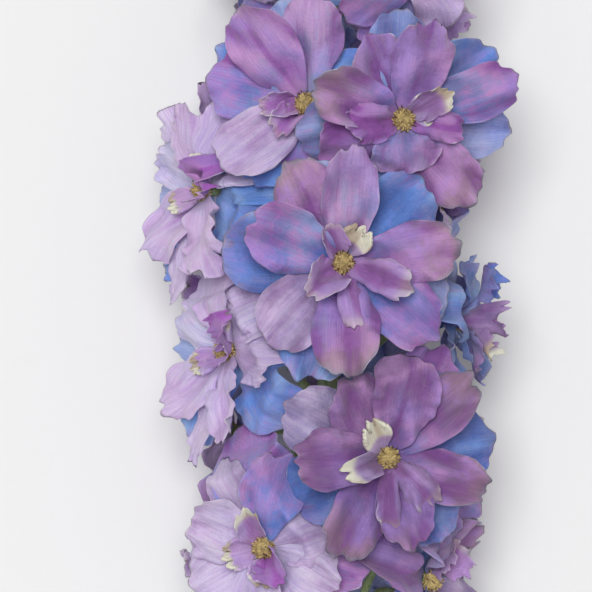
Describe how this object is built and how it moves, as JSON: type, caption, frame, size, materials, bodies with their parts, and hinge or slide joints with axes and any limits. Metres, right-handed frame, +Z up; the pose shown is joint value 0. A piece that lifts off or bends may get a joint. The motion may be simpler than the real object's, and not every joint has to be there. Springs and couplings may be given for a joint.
{
  "type": "delphinium flower spike",
  "caption": "Cut spike of double delphinium flowers lying on its side: blue sepals, layers of lilac petals, gold eyes, a green stem and buds to the tip",
  "frame": {"origin": "on the surface, under the middle of the spike's box", "axes": "+Y along the stem from the cut end to the tip, +Z up from the surface towards the side that shows, +X to the spike's right seen from above"},
  "size_m": [0.1115, 0.3461, 0.0953],
  "materials": {
    "green_stem": "matte",
    "blue_sepal": "soft matte",
    "lilac_petal": "soft matte",
    "gold_stamens": "matte"
  },
  "bodies": {
    "root": {"bloom_01_eye": "gold_stamens", "bloom_01_petals": "lilac_petal", "bloom_01_sepals": "blue_sepal", "bloom_02_eye": "gold_stamens", "bloom_02_petals": "lilac_petal", "bloom_02_sepals": "blue_sepal", "bloom_03_eye": "gold_stamens", "bloom_03_petals": "lilac_petal", "bloom_03_sepals": "blue_sepal", "bloom_04_eye": "gold_stamens", "bloom_04_petals": "lilac_petal", "bloom_04_sepals": "blue_sepal", "bloom_05_eye": "gold_stamens", "bloom_05_petals": "lilac_petal", "bloom_05_sepals": "blue_sepal", "bloom_06_eye": "gold_stamens", "bloom_06_petals": "lilac_petal", "bloom_06_sepals": "blue_sepal", "bloom_07_eye": "gold_stamens", "bloom_07_petals": "lilac_petal", "bloom_07_sepals": "blue_sepal", "bloom_08_petals": "lilac_petal", "bloom_08_sepals": "blue_sepal", "bloom_09_petals": "lilac_petal", "bloom_09_sepals": "blue_sepal", "bloom_10_petals": "lilac_petal", "bloom_10_sepals": "blue_sepal", "bloom_11_petals": "lilac_petal", "bloom_11_sepals": "blue_sepal", "bloom_12_petals": "lilac_petal", "bloom_12_sepals": "blue_sepal", "bloom_13_petals": "lilac_petal", "bloom_13_sepals": "blue_sepal", "bloom_14_petals": "lilac_petal", "bloom_14_sepals": "blue_sepal", "bloom_15_petals": "lilac_petal", "bloom_15_sepals": "blue_sepal", "bloom_16_petals": "lilac_petal", "bloom_16_sepals": "blue_sepal", "bloom_17_petals": "lilac_petal", "bloom_17_sepals": "blue_sepal", "bloom_18_petals": "lilac_petal", "bloom_18_sepals": "blue_sepal", "bloom_19_petals": "lilac_petal", "bloom_19_sepals": "blue_sepal", "bloom_20_petals": "lilac_petal", "bloom_20_sepals": "blue_sepal", "bloom_21_petals": "lilac_petal", "bloom_21_sepals": "blue_sepal", "bloom_22_petals": "lilac_petal", "bloom_22_sepals": "blue_sepal", "bloom_23_petals": "lilac_petal", "bloom_23_sepals": "blue_sepal", "bloom_24_petals": "lilac_petal", "bloom_24_sepals": "blue_sepal", "bloom_25_petals": "lilac_petal", "bloom_25_sepals": "blue_sepal", "bloom_26_petals": "lilac_petal", "bloom_26_sepals": "blue_sepal", "stem": "green_stem"}
  },
  "joints": []
}
